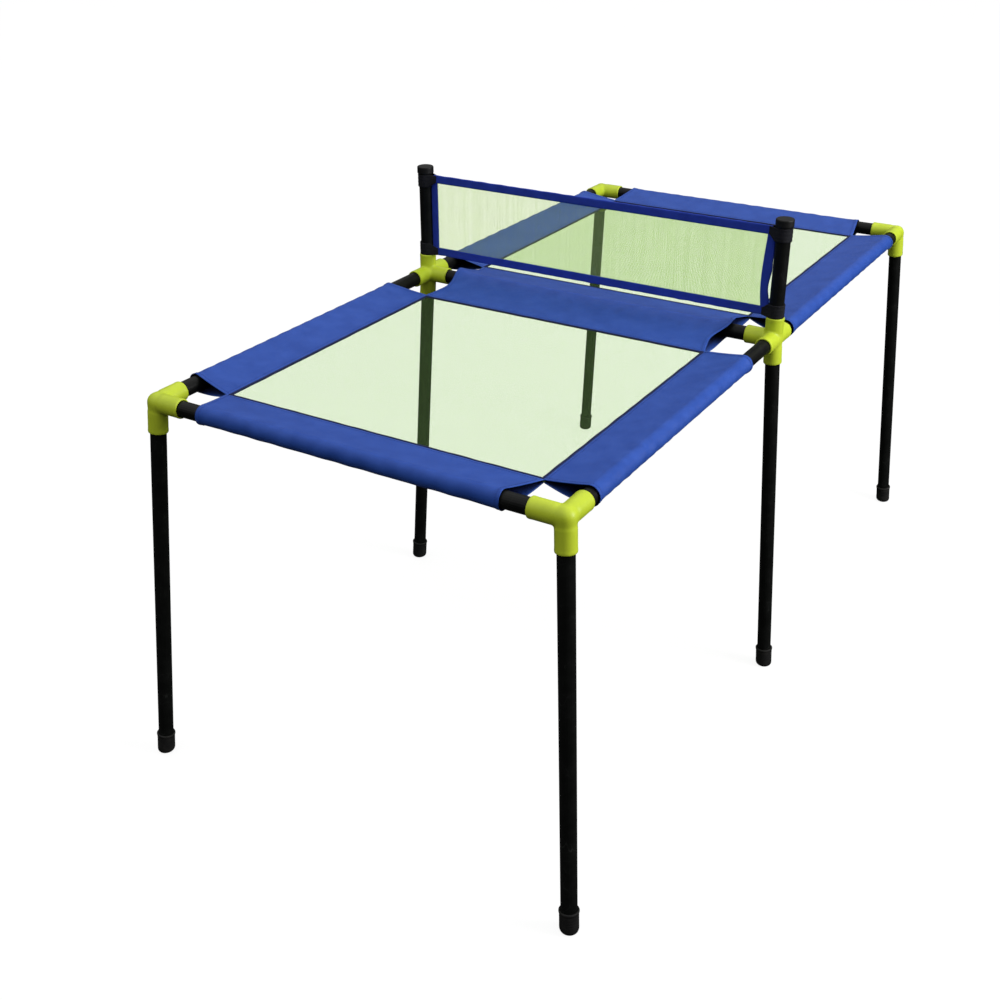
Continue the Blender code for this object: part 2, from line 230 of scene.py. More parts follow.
def moulded_plastic(name, colour, deep, roughness, grain, shine):
    """Injection moulded plastic: faint flow marks, fine skin grain, rubbed edges."""
    s = Shader(name)
    at = s.place()
    flow = s.noise(at, 30, 4)
    base = s.mix(s.span(flow, 0.35, 0.7), colour, deep)
    edge = s.span(s.node("NewGeometry", out=7), 0.52, 0.6, 0.0, 0.35)
    pale = tuple(min(1.0, c * 1.25 + 0.02) for c in colour[:3]) + (1.0,)
    base = s.mix(edge, base, pale)
    skin = s.noise(at, grain, 2)
    scuffs = s.span(s.noise(at, 220, 5, 0.7), 0.55, 0.75)
    rough = s.math("ADD", s.math("MULTIPLY", skin, 0.10), s.math("MULTIPLY", scuffs, 0.12))
    s.principled(Base_Color=base, Roughness=s.math("ADD", rough, roughness - 0.05),
                 Normal=s.bump(skin, 0.05 * MM, 0.5, s.bump(flow, 0.3 * MM, 0.3)),
                 Specular_IOR_Level=shine)
    return s.material


def painted_tube(name):
    """Satin black powder coat: orange peel skin, dust and small rubbed scratches."""
    s = Shader(name)
    at = s.place()
    peel = s.noise(at, 900, 2)
    dust = s.noise(at, 45, 5, 0.65)
    scratch = s.node("TexVoronoi", ("Vector", at), ("Scale", 55.0), ("Randomness", 1.0),
                     feature="DISTANCE_TO_EDGE")
    line = s.math("MULTIPLY", s.span(scratch, 0.0, 0.012, 1.0, 0.0), s.span(dust, 0.5, 0.62))
    base = s.mix(s.span(dust, 0.4, 0.8), srgb(13, 14, 13), srgb(21, 22, 21))
    base = s.mix(s.math("MULTIPLY", line, 0.5), base, srgb(60, 62, 60))
    s.principled(Base_Color=base, Roughness=s.span(dust, 0.3, 0.7, 0.34, 0.46),
                 Normal=s.bump(peel, 0.06 * MM, 0.6), Specular_IOR_Level=0.15)
    return s.material


def rubber(name):
    s = Shader(name)
    at = s.place()
    speckle = s.noise(at, 1400, 3, 0.7)
    dust = s.noise(at, 60, 5)
    base = s.mix(s.span(dust, 0.45, 0.75), srgb(20, 20, 20), srgb(38, 37, 35))
    s.principled(Base_Color=base, Roughness=s.span(speckle, 0.2, 0.8, 0.6, 0.8),
                 Normal=s.bump(speckle, 0.08 * MM, 0.7), Specular_IOR_Level=0.25)
    return s.material


def woven(name, light, dark, pitch, roughness, depth, painted_hollow_shade=None):
    """Plain woven cloth: yarns cross over and under every pitch, with slubs and soft mottling.

    The last colour is painted shade, laid where ambient occlusion finds the cloth closed in on itself,
    inside the sleeves.
    """
    s = Shader(name)
    flat = s.cloth_place()
    u = s.node("SeparateXYZ", ("Vector", flat), out=0)
    v = s.node("SeparateXYZ", ("Vector", flat), out=1)
    wave_u = s.wave("SINE", s.math("DIVIDE", u, 2 * pitch))
    wave_v = s.wave("SINE", s.math("DIVIDE", v, 2 * pitch))
    over = s.math("MULTIPLY", wave_u, wave_v)
    warp = s.math("MULTIPLY", s.math("ABSOLUTE", wave_u), s.math("ADD", over, 1.2))
    weft = s.math("MULTIPLY", s.math("ABSOLUTE", wave_v), s.math("SUBTRACT", 1.2, over))
    yarn = s.math("MAXIMUM", warp, weft)
    slub = s.noise(s.node("Mapping", ("Vector", flat), ("Scale", (60.0, 900.0, 1.0))), 1.0, 2)
    mottle = s.noise(s.place(), 34, 4, 0.6)
    tone = s.math("ADD", s.math("MULTIPLY", s.span(yarn, 0.2, 1.6), 0.4),
                  s.math("MULTIPLY", s.span(mottle, 0.35, 0.65), 0.45))
    tone = s.math("ADD", tone, s.math("MULTIPLY", slub, 0.15))
    base = s.mix(tone, dark, light)
    if painted_hollow_shade:
        # painted shade: where ambient occlusion finds the cloth closed in, as inside a sleeve, its
        # colour turns to the dark shade colour
        openness_for_painted_shade = s.node("AmbientOcclusion", ("Distance", 30 * MM), out=1, samples=6)
        base = s.mix(s.span(openness_for_painted_shade, 0.3, 0.7), painted_hollow_shade, base)
    s.principled(Base_Color=base,
                 Roughness=s.span(slub, 0.3, 0.7, roughness - 0.05, roughness + 0.06),
                 Normal=s.bump(yarn, depth, 0.55), Specular_IOR_Level=0.22,
                 Sheen_Weight=0.03, Sheen_Roughness=0.4)
    return s.material


def knitted_mesh(name, pitch, yarn, tint, opacity, gap_level, wales):
    """Sheer warp knit: six-sided holes between yarns that let some coloured light through.

    gap_level is where the lattice wave turns from yarn to hole; wales darkens the upright rows.
    """
    s = Shader(name)
    flat = s.cloth_place()
    lattice = None
    rise = 1 / math.sqrt(3)
    for across, up in ((1.0, rise), (-1.0, rise), (0.0, 2 * rise)):
        turns = s.node("VectorMath", (0, flat), (1, (across / pitch, up / pitch, 0.0)), out=1,
                       operation="DOT_PRODUCT")
        wave = s.wave("COSINE", turns)
        lattice = wave if lattice is None else s.math("ADD", lattice, wave)
    row = s.noise(s.node("Mapping", ("Vector", flat), ("Scale", (0.5 / pitch, 2.0, 1.0))), 1.0, 1)
    lattice = s.math("SUBTRACT", lattice, s.math("MULTIPLY", s.span(row, 0.35, 0.65), wales))
    solid = s.span(lattice, gap_level - 0.25, gap_level + 0.25, 1.0, 0.0, "SMOOTHSTEP")
    patch = s.noise(s.place(), 14, 3)
    base = s.mix(s.span(patch, 0.3, 0.7), yarn, tuple(c * 0.85 for c in yarn[:3]) + (1.0,))
    s.principled(Base_Color=base, Roughness=0.75, Normal=s.bump(lattice, -0.15 * MM, 0.5),
                 Specular_IOR_Level=0.2)
    clear = s.node("BsdfTransparent")
    sheer = s.node("BsdfTransparent", ("Color", tint))
    thread = s.node("MixShader", (0, opacity), (1, sheer), (2, s.surface.outputs[0]))
    mixed = s.node("MixShader", (0, solid), (1, clear), (2, thread))
    s.set(s.output, "Surface", mixed)
    return s.material


LIME = moulded_plastic("lime_plastic_look", srgb(199, 217, 54), srgb(184, 204, 46), 0.42, 1500, 0.35)
BLACK_PLASTIC = moulded_plastic("black_plastic_look", srgb(22, 22, 22), srgb(16, 16, 16), 0.5, 900,
                                0.25)
TUBE = painted_tube("black_tube_look")
RUBBER = rubber("black_rubber_look")
# the last colour given to BLUE is painted shade for the closed-in insides of the sleeves
BLUE = woven("blue_fabric_look", srgb(48, 86, 177), srgb(24, 64, 150), 0.55 * MM, 0.5, 0.10 * MM,
             srgb(14, 20, 62))
NAVY = woven("navy_tape_look", srgb(48, 76, 198), srgb(34, 58, 165), 0.8 * MM, 0.7, 0.2 * MM)
BINDING = woven("navy_binding_look", srgb(16, 28, 76), srgb(8, 18, 56), 0.8 * MM, 0.7, 0.2 * MM)
WEBBING = woven("black_webbing_look", srgb(24, 25, 32), srgb(12, 13, 18), 1.3 * MM, 0.7, 0.35 * MM)
THREAD = woven("blue_thread_look", srgb(38, 66, 150), srgb(24, 48, 124), 0.3 * MM, 0.6, 0.05 * MM)
PLAY_MESH = knitted_mesh("lime_mesh_look", 1.25 * MM, (0.155, 0.28, 0.087, 1.0),
                         (0.62, 0.91, 0.34, 1.0), 0.35, -0.417, 0.0)
NET_MESH = knitted_mesh("net_mesh_look", 1.5 * MM, (0.78, 0.97, 0.45, 1.0), (0.65, 1.0, 0.1, 1.0),
                        0.52, -0.6, 0.25)


# Meshes ---------------------------------------------------------------------

def piece(name, points, faces, material, slot, body, uv=None):
    """Make a smooth-shaded piece that rides on a CAD body. uv holds one pair for each point."""
    mesh = bpy.data.meshes.new(name)
    mesh.from_pydata(np.asarray(points).tolist(), [], np.asarray(faces).tolist())
    mesh.materials.append(material)
    mesh.shade_smooth()
    if uv is not None:
        loops = np.zeros(len(mesh.loops), np.int32)
        mesh.loops.foreach_get("vertex_index", loops)
        layer = mesh.uv_layers.new(name="UVMap")
        layer.data.foreach_set("uv", np.asarray(uv, np.float32)[loops].ravel())
    obj = bpy.data.objects.new(name, mesh)
    bpy.context.scene.collection.objects.link(obj)
    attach(obj, body)
    return obj


def grid_faces(rows, columns, offset=0):
    """Quads of a grid of points, wound so that their normal is column direction x row direction."""
    at = offset + np.arange(rows * columns).reshape(rows, columns)
    return np.stack([at[:-1, :-1], at[:-1, 1:], at[1:, 1:], at[1:, :-1]], -1).reshape(-1, 4)


def smooth_min(a, b, blend):
    h = np.clip(0.5 + 0.5 * (b - a) / blend, 0, 1)
    return b * (1 - h) + a * h - blend * h * (1 - h)


def smooth_max(a, b, blend):
    return -smooth_min(-a, -b, blend)


def skin(field, low, high, step):
    """Points and quads round the zero level of a distance field, one point to each cell it crosses."""
    low = np.array(low, float) - 1.5 * step
    axes = [np.arange(a, b + 2.5 * step, step) for a, b in zip(low, np.array(high, float))]
    value = field(np.stack(np.meshgrid(*axes, indexing="ij"), -1))
    around = np.array([(-1, -1), (0, -1), (0, 0), (-1, 0)])
    crossings, quads = [], []
    for axis in range(3):
        order = [axis, (axis + 1) % 3, (axis + 2) % 3]
        turned = value.transpose(order)
        near, far = turned[:-1], turned[1:]
        at = np.argwhere((near < 0) != (far < 0))
        a, b = near[tuple(at.T)], far[tuple(at.T)]
        spot = at.astype(float)
        spot[:, 0] += a / (a - b)
        cells = np.repeat(at[:, None, :], 4, axis=1)
        cells[:, :, 1:] += around
        cells[a >= 0] = cells[a >= 0][:, ::-1]
        back = np.argsort(order)
        crossings.append(np.repeat(spot[:, back][:, None, :], 4, axis=1).reshape(-1, 3))
        quads.append(np.ravel_multi_index(cells[:, :, back].reshape(-1, 3).T, value.shape))
    keys, index = np.unique(np.concatenate(quads), return_inverse=True)
    points = np.zeros((len(keys), 3))
    np.add.at(points, index, np.concatenate(crossings))
    points = low + points / np.bincount(index)[:, None] * step
    for _ in range(3):
        level = field(points)
        slope = np.stack([(field(points + n * step / 20) - level) / (step / 20) for n in np.eye(3)], -1)
        steep = np.maximum((slope * slope).sum(-1, keepdims=True), 0.2)
        points = points - level[:, None] * slope / steep
    return points, index.reshape(-1, 4)


def along_axis(points, origin, direction):
    """Distance along and away from an axis."""
    q = points - origin
    t = q @ direction
    return t, np.sqrt(np.maximum((q * q).sum(-1) - t * t, 0))


# Connectors, feet and caps --------------------------------------------------

def connector_field(origin, arms):
    """A moulded joint: round arms that flow into each other, each with a socket for its tube."""
    def field(points):
        outer = np.full(points.shape[:-1], 1.0)
        holes = outer
        for direction, length in arms:
            t, away = along_axis(points, origin, direction)
            lip = JOINT_LIP * np.exp(-((t - length + 3 * MM) / (2.2 * MM)) ** 2)
            ease = 0.38 * CROTCH * np.clip(1 - t / ARM_R, 0, 1)
            side = np.hypot(away, np.minimum(t, 0)) - (ARM_R + lip - ease)
            outer = smooth_min(outer, smooth_max(side, t - length, MOUTH_ROUND), CROTCH)
            holes = np.minimum(holes, np.maximum(away - SOCKET_R, SOCKET_FLOOR - t))
        return smooth_max(outer, -holes, SOCKET_ROUND)
    return field


def leg_direction(side, end):
    """Down a leg, leaning out to its side and end."""
    splay = np.array([side * LEG_SPLAY, end * LEG_SPLAY, -1.0])
    return splay / np.linalg.norm(splay)


JOINTS = {f"{e_name}_{s_name}": (s, e)
          for e_name, e in (("front", -1), ("middle", 0), ("rear", 1))
          for s_name, s in (("left", -1), ("right", 1))}


def joint_centre(side, end):
    return np.array([side * HALF_WIDTH, end * HALF_LENGTH, TUBE_Z])


def connectors():
    for suffix, (side, end) in JOINTS.items():
        origin = joint_centre(side, end)
        down = leg_direction(side, end)
        if end:
            arms = [(-side * X, CORNER_ARM), (-end * Y, CORNER_ARM), (down, CORNER_LEG_ARM)]
        else:
            arms = [(-side * X, MIDDLE_ARM), (Y, MIDDLE_ARM), (-Y, MIDDLE_ARM),
                    (down, MIDDLE_LEG_ARM), (Z, POST_ARM)]
        tips = [origin + d * length for d, length in arms] + [origin]
        low, high = np.min(tips, 0) - JOINT_MARGIN, np.max(tips, 0) + JOINT_MARGIN
        points, faces = skin(connector_field(origin, arms), low, high, JOINT_CELL)
        obj = piece("moulded_joint_" + suffix, points, faces, LIME, "lime_plastic", "frame")
        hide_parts("connector_" + suffix)


def foot_field(origin, direction, top, bottom):
    """A rubber foot: a lip at its mouth, three shallow grips and a rounded base flat on the floor."""
    def field(points):
        t, away = along_axis(points, origin, direction)
        lip = FOOT_LIP * np.exp(-((t - top - 2 * MM) / (2 * MM)) ** 4)
        grip = sum(0.35 * MM * np.exp(-((t - top - d) / (0.8 * MM)) ** 2) for d in FOOT_GRIPS)
        side = away - (FOOT_R + lip - grip)
        outer = smooth_max(side, np.maximum(t - bottom, top - t), MOUTH_ROUND)
        outer = smooth_max(outer, -points[..., 2], FOOT_ROUND)
        hole = np.maximum(away - SOCKET_R, t - bottom + FOOT_SOLE)
        return smooth_max(outer, -hole, 0.6 * MM)
    return field


def feet():
    for suffix, (side, end) in JOINTS.items():
        direction = leg_direction(side, end)
        floor_at = TUBE_Z / -direction[2]
        low, high = (np.array(c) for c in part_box("foot_" + suffix))
        field = foot_field(joint_centre(side, end), direction, floor_at - FOOT_HEIGHT,
                           floor_at + FOOT_EXTRA)
        points, faces = skin(field, low - MM, high + MM, FOOT_CELL)
        obj = piece("rubber_foot_" + suffix, points, faces, RUBBER, "black_rubber", "leg_" + suffix)
        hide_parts("foot_" + suffix)


def caps():
    for side, name in ((-1, "left"), (1, "right")):
        origin = np.array([side * HALF_WIDTH, 0.0, TUBE_Z + POST_TOP - CAP])

        def field(points, origin=origin):
            t, away = along_axis(points, origin, Z)
            outer = smooth_max(away - ARM_R, np.maximum(t - CAP, -t), 2.6 * MM)
            dish_centre = CAP + CAP_DISH_R - CAP_DISH_DEPTH
            dish = np.sqrt(away ** 2 + (t - dish_centre) ** 2) - CAP_DISH_R
            outer = smooth_max(outer, -dish, 0.6 * MM)
            hole = np.maximum(away - SOCKET_R, t - CAP + CAP_WALL)
            return smooth_max(outer, -hole, 0.5 * MM)
        low, high = (np.array(c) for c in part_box("post_cap_" + name))
        points, faces = skin(field, low - MM, high + MM, CAP_CELL)
        obj = piece("moulded_cap_" + name, points, faces, BLACK_PLASTIC, "black_plastic", "net_assembly")
        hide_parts("post_cap_" + name)


def tubes():
    """The straight tubes are shown as they are in the CAD, with their painted finish."""
    for name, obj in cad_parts.items():
        if name.startswith(("leg_", "side_rail_", "cross_tube_", "net_post_")):
            obj.data.materials.clear()
            obj.data.materials.append(TUBE)


# Cloth ----------------------------------------------------------------------

def wrap_path(radius, reach, other, tip, step):
    """Section of cloth pulled over a round bar and out to a seam at reach, in (across, up).

    other is the distance to a second seam on the far side, or None where the cloth turns round
    the bar and comes back. Returns evenly spaced points and their outward normals.
    """
    lean = math.asin((radius - tip) / reach)
    start = math.pi / 2 - lean
    if other is None:
        angles = np.linspace(start, math.tau - start, 40)
    else:
        angles = np.linspace(start, math.pi / 2 + math.asin((radius - tip) / other), 8)
    arc = np.stack([radius * np.cos(angles), radius * np.sin(angles)], -1)
    if other is None:
        corners = np.vstack([[reach, tip], arc, [reach, -tip]])
    else:
        under = arc[::-1] * [1, -1]
        corners = np.vstack([[reach, tip], arc, [-other, tip], [-other, -tip], under, [reach, -tip]])
    return even(corners, step)


def even(corners, step):
    """Resample a section evenly; returns points, outward normals and lengths along it."""
    lengths = np.r_[0, np.cumsum(np.linalg.norm(np.diff(corners, axis=0), axis=1))]
    count = max(4, round(lengths[-1] / step))
    s = np.linspace(0, lengths[-1], count + 1)
    path = np.stack([np.interp(s, lengths, corners[:, k]) for k in (0, 1)], -1)
    d = np.gradient(path, axis=0)
    d /= np.linalg.norm(d, axis=1, keepdims=True)
    return path, np.stack([d[:, 1], -d[:, 0]], -1), s


def swept_cloth(name, section, ends, step, lift, matrix, look, thickness=CLOTH, body="frame"):
    """Cloth that runs along local X with a (local Y, local Z) section.

    ends(across, up) gives its two x limits and lift(x, across, up, s, share) how far it stands out.
    look is (material, slot), and the slot is not used. The outside is built, and thickness goes inwards.
    """
    path, normals, s = section
    limits = np.array([ends(*point) for point in path])
    count = max(2, round(np.ptp(limits) / step))
    share = np.linspace(0, 1, count + 1)[:, None]
    x = limits[:, 0] + (limits[:, 1] - limits[:, 0]) * share
    out = lift(x, path[:, 0], path[:, 1], s, share)
    y = path[:, 0] + normals[:, 0] * out
    z = path[:, 1] + normals[:, 1] * out
    local = np.stack([x, y, z, np.ones_like(x)], -1).reshape(-1, 4)
    points = local @ np.array(matrix).T
    uv = np.stack([x, np.broadcast_to(s, x.shape)], -1).reshape(-1, 2)
    obj = piece(name, points[:, :3], grid_faces(*x.shape), *look, body, uv)
    solid = obj.modifiers.new("thickness", "SOLIDIFY")
    solid.thickness = thickness
    solid.offset = -1.0
    return obj


def ripple(a, b, seed):
    """Smooth irregular waves from -1 to 1, about 1 long in both arguments."""
    rng = np.random.default_rng(seed)
    total = 0.0
    for _ in range(6):
        angle, phase = rng.uniform(-0.9, 0.9), rng.uniform(0, math.tau)
        pace = rng.uniform(0.6, 1.6) * math.tau
        total = total + np.sin(pace * (a * math.cos(angle) + b * math.sin(angle)) + phase)
    return total / 3.5


def stitches(name, rows, length, material, slot, body, thick=0.55 * MM):
    """Short sewn threads, each dipping into the cloth at its two ends."""
    spots, along, normals = (np.vstack(part) for part in zip(*rows))
    side = np.cross(normals, along)
    t = np.array([-0.5, -0.42, -0.2, 0.2, 0.42, 0.5]) * length
    fat = np.array([0.15, 0.75, 1.0, 1.0, 0.75, 0.15]) * thick / 2
    rise = np.array([-0.6, 0.0, 0.3, 0.3, 0.0, -0.6]) * thick
    turn = np.arange(6) * math.tau / 6
    height = rise[:, None] + fat[:, None] * np.sin(turn)
    width = fat[:, None] * np.cos(turn)
    points = (spots[:, None, None] + t[:, None, None] * along[:, None, None]
              + height[..., None] * normals[:, None, None] + width[..., None] * side[:, None, None])
    ring, spoke = np.meshgrid(np.arange(5), np.arange(6), indexing="ij")
    following = (spoke + 1) % 6
    one = np.stack([ring * 6 + spoke, (ring + 1) * 6 + spoke, (ring + 1) * 6 + following,
                    ring * 6 + following], -1).reshape(-1, 4)
    faces = one + 36 * np.arange(len(spots))[:, None, None]
    return piece(name, points.reshape(-1, 3), faces.reshape(-1, 4), material, slot, body)


def point_grid(obj, columns):
    """The points of a swept piece as rows along it and columns round it."""
    points = np.zeros(len(obj.data.vertices) * 3)
    obj.data.vertices.foreach_get("co", points)
    return points.reshape(-1, columns, 3)


def unit(vectors):
    return vectors / np.linalg.norm(vectors, axis=-1, keepdims=True)


def stitch_line(line, side, margin, pitch):
    """Places for stitches along a line: spots, headings and normals.

    side holds a vector across the cloth for each point, to the right of the line seen from outside.
    """
    lengths = np.r_[0, np.cumsum(np.linalg.norm(np.diff(line, axis=0), axis=1))]
    at = np.arange(margin, lengths[-1] - margin, pitch)

    def sample(values, where):
        return np.stack([np.interp(where, lengths, values[:, k]) for k in range(3)], -1)
    spots = sample(line, at)
    heading = unit(sample(line, at + MM) - spots)
    return spots, heading, unit(np.cross(sample(side, at), heading))


def hem_stitches(grid, inset):
    """Places for a row of stitches round each open end of a sleeve."""
    rows = []
    for rim, next_row, way in ((grid[0], grid[1], 1), (grid[-1], grid[-2], -1)):
        inward = unit(next_row - rim)
        rows.append(stitch_line(rim + inward * inset, -way * inward, 4 * MM, HEM_STITCH[1]))
    return rows


def seam_stitches(grid, s, places):
    """Places for rows of stitches along a swept piece, at the given lengths round its section."""
    rows = []
    for place in places:
        k = np.searchsorted(s, place)
        share = (place - s[k - 1]) / (s[k] - s[k - 1])
        line = grid[:, k - 1] * (1 - share) + grid[:, k] * share
        rows.append(stitch_line(line, grid[:, k] - grid[:, k - 1], 6 * MM, SEAM_SPACING))
    return rows


def sleeve_lift(seed, reach, other):
    """How a sleeve stands off its straight section: slack, soft waves, puckered seams, doubled hems.

    reach and other are its distances from tube to seam, other None where it only turns round the tube.
    """
    def lift(x, across, up, s, share):
        run = np.minimum(share, 1 - share) * np.ptp(x)
        far = np.clip(np.where(across > 0, across / reach, -across / (other or np.inf)), 0, 1)
        top = up > 0
        panel = np.sin(math.pi * far)
        round_bar = 1 - np.clip(far * 1.6, 0, 1)
        outside = np.clip((0.34 * up - 0.94 * across) / POCKET_R, 0, 1) * round_bar
        slack = np.where(top, SLACK_TOP, SLACK_BELOW) * panel
        wave = ripple(x / 0.036, s / 0.045, seed)
        soft = (0.07 + 0.08 * round_bar + 0.85 * outside) * WAVE * wave
        pucker = PUCKER * ripple(x / 0.011, s / 0.03, seed + 50)
        pucker = pucker * np.clip((far - 0.82) / 0.1, 0, 1)
        flare = FLARE * np.exp(-run / (9 * MM)) * (0.3 + 0.7 * round_bar)
        hem = HEM_STEP / (1 + np.exp((run - HEM) / (0.5 * MM)))
        fold = FOLD * np.exp(-run / (40 * MM)) * np.sin(run / (11 * MM) + 2.2 * far) * panel
        out = slack + soft + pucker + flare + hem + fold * np.where(top, 0.6, 1.0)
        if other:
            arch = np.exp(-run / (16 * MM)) * np.exp(-(across / (20 * MM)) ** 2)
            out = out + MIDDLE_ARCH * arch * np.where(top, 1.0, 0.2)
        return out * np.clip((1 - far) / 0.05, 0, 1)
    return lift


def slanted(low_tube, low_seam, high_tube, high_seam, reach):
    """Ends of a sleeve cut straight from its tube to its seam."""
    def ends(across, up):
        share = min(max(across / reach, 0.0), 1.0)
        return (low_tube + (low_seam - low_tube) * share, high_tube + (high_seam - high_tube) * share)
    return ends


def middle_ends(across, up):
    """Ends of the middle sleeve: the upper layer is cut in a curve and covers more of the tube."""
    reach = MIDDLE_REAR if across > 0 else MIDDLE_FRONT
    share = min(abs(across) / reach, 1.0)
    tube_end = HALF_WIDTH - MIDDLE_CUT
    limit = tube_end + (HALF_WIDTH - BAND + CORNER_LAP - tube_end) * share
    if up > 0:
        limit += MIDDLE_CURVE * math.cos(math.pi * min(share * 1.5, 1.0)) * (1 - share) ** 0.5
    return -limit, limit


def sleeve(suffix, reach, other, ends, origin, turn, seed):
    """A blue sleeve with its hems and stitching; local +Y points at the playing surface."""
    matrix = Matrix.Translation(origin) @ Matrix.Rotation(math.radians(turn), 4, "Z")
    section = wrap_path(POCKET_R, reach, other, SEAM_HALF, 2.2 * MM)
    s = section[2]
    obj = swept_cloth("cloth_sleeve_" + suffix, section, ends, 2.4 * MM, sleeve_lift(seed, reach, other),
                      matrix, (BLUE, "blue_fabric"))
    grid = point_grid(obj, len(s))
    places = [SEAM_INSET, s[-1] - SEAM_INSET]
    if other:
        places += [s[-1] / 2 - SEAM_INSET, s[-1] / 2 + SEAM_INSET]
    rows = hem_stitches(grid, HEM - 1.5 * MM) + seam_stitches(grid, s, places)
    sewn = stitches("stitching_" + suffix, rows, HEM_STITCH[0], THREAD, "blue_fabric", "frame")
    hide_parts("sleeve_" + suffix)
    low, high = ends(0.0, 0.0)


def sleeves():
    across_seam = HALF_WIDTH - BAND + CORNER_LAP
    for end_name, y, turn, seed in (("front", -HALF_LENGTH, 0, 1), ("rear", HALF_LENGTH, 180, 2)):
        across_tube = HALF_WIDTH - END_CUT[end_name]
        ends = slanted(-across_tube, -across_seam, across_tube, across_seam, BAND)
        sleeve(end_name, BAND, None, ends, (0, y, TUBE_Z), turn, seed)
    seed = 3
    for end_name, cut_seam in (("front", MIDDLE_FRONT), ("rear", MIDDLE_REAR)):
        for side_name, x, turn in (("left", -HALF_WIDTH, -90), ("right", HALF_WIDTH, 90)):
            suffix = f"{end_name}_{side_name}"
            near = (SIDE_NEAR[suffix], cut_seam - CORNER_LAP)
            far = (HALF_LENGTH - SIDE_FAR[suffix], HALF_LENGTH - BAND + CORNER_LAP)
            forward = (end_name == "front") == (side_name == "left")
            low, high = (near, far) if forward else ([-v for v in far], [-v for v in near])
            sleeve(suffix, BAND, None, slanted(*low, *high, BAND), (x, 0, TUBE_Z), turn, seed)
            seed += 1
    sleeve("middle", MIDDLE_REAR, MIDDLE_FRONT, middle_ends, (0, 0, TUBE_Z), 0, seed)


# Playing surfaces -----------------------------------------------------------

def outline(low, high):
    """Points every few millimetres round a rectangle, and the way out of it at each of them."""
    corners = np.array([(low.x, low.y), (high.x, low.y), (high.x, high.y), (low.x, high.y)])
    line, normal = [], []
    for a, b in zip(corners, np.roll(corners, -1, 0)):
        length = np.linalg.norm(b - a)
        count = max(2, round(length / BINDING_STEP))
        line.append(a + (b - a) * np.linspace(0, 1, count, endpoint=False)[:, None])
        outward = np.array([(b - a)[1], -(b - a)[0]]) / length
        normal.append(np.repeat(outward[None], count, 0))
    line, normal = np.vstack(line), np.vstack(normal)
    return line, (normal + np.roll(normal, 1, 0)) / 2


def binding(name, low, high, seed):
    """Narrow navy tape sewn over the joint between mesh and sleeves, all round one panel."""
    line, normal = outline(low, high)
    s = np.arange(len(line)) * BINDING_STEP
    line = line + normal * 0.35 * MM * ripple(s / 0.06, 0 * s, seed)[:, None]
    line = line - normal * BINDING_IN
    turn = np.arange(RING) * math.tau / RING
    across, up = BINDING_HALF[0] * np.cos(turn), BINDING_HALF[1] * np.sin(turn)
    points = np.concatenate([
        line[:, None, :] + normal[:, None, :] * across[None, :, None],
        np.broadcast_to(TUBE_Z + up[None, :, None], (len(line), RING, 1))], -1)
    uv = np.stack(np.broadcast_arrays(s[:, None], np.arange(RING)[None] * 0.9 * MM), -1)
    at = np.arange(len(line) * RING).reshape(-1, RING)
    following, side = np.roll(at, -1, 0), np.roll(at, -1, 1)
    faces = np.stack([at, following, np.roll(following, -1, 1), side], -1).reshape(-1, 4)
    return piece(name, points.reshape(-1, 3), faces, BINDING, "navy_tape", "frame", uv.reshape(-1, 2))


def playing_surfaces():
    """Two flat panels of mesh with a little sag, tucked into the sleeves all round."""
    rows, columns = 97, 89
    for end_name, seed in (("front", 21), ("rear", 22)):
        node = "play_mesh_" + end_name
        low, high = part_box(node)
        edge = binding("seam_tape_" + end_name, low, high, seed)
        xs = np.linspace(low.x - MESH_TUCK, high.x + MESH_TUCK, rows)
        ys = np.linspace(low.y - MESH_TUCK, high.y + MESH_TUCK, columns)
        x, y = np.meshgrid(xs, ys, indexing="ij")
        u = np.clip((x - low.x) / (high.x - low.x), 0, 1)
        v = np.clip((y - low.y) / (high.y - low.y), 0, 1)
        belly = np.sin(math.pi * u) * np.sin(math.pi * v)
        z = TUBE_Z - MESH_SAG * belly ** 0.8
        z = z + 0.5 * MM * ripple(x / 0.16, y / 0.2, seed + 5) * belly ** 0.5
        points = np.stack([x, y, z], -1).reshape(-1, 3)
        obj = piece("knit_panel_" + end_name, points, grid_faces(rows, columns), PLAY_MESH,
                    "lime_mesh", "frame", np.stack([x, y], -1).reshape(-1, 2))
        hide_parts(node)


# Net ------------------------------------------------------------------------

def folded(half, height, step):
    """Section of tape folded over an edge: up one side, over the fold and down the other."""
    turn = np.linspace(math.pi, 0, 9)
    fold = np.stack([half * np.cos(turn), height - half + half * np.sin(turn)], -1)
    corners = np.vstack([[half, 0.0], fold[::-1], [-half, 0.0]])
    return even(corners, step)


def bow(side, height):
    """How far the inner edge of an end tape is drawn in, at a share of the net's height."""
    return BOW[side] * math.sin(math.pi * min(max(height, 0.0), 1.0) ** 0.7) ** 1.2


def slit(side, height):
    """How far its outer edge stands off the post: only the right tape does, low down."""
    return STAND_OFF[side] * math.exp(-((height - 0.3) / 0.15) ** 2)


def tape(name, node, width, ends, matrix, seed, bend=None):
    """A folded net tape with a stitched free edge; bend moves its points towards the net."""
    section = folded(TAPE_HALF, width, 1.1 * MM)
    s = section[2]

    def lift(x, across, up, s, share):
        return 0.25 * MM * ripple(x / 0.03, s / 0.02, seed) * np.clip(up / width, 0, 1)
    obj = swept_cloth(name, section, ends, 2.5 * MM, lift, matrix, (NAVY, "navy_tape"), 0.6 * MM,
                      "net_assembly")
    if bend:
        for vertex in obj.data.vertices:
            vertex.co.x += bend(vertex.co.x, vertex.co.z)
    places = [TAPE_STITCH_INSET, s[-1] - TAPE_STITCH_INSET]
    rows = seam_stitches(point_grid(obj, len(s)), s, places)
    sewn = stitches(name + "_stitching", rows, TAPE_STITCH, NAVY, "navy_tape", "net_assembly", 0.5 * MM)
    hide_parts(node)
    np.ptp(ends(0.0, 0.0))


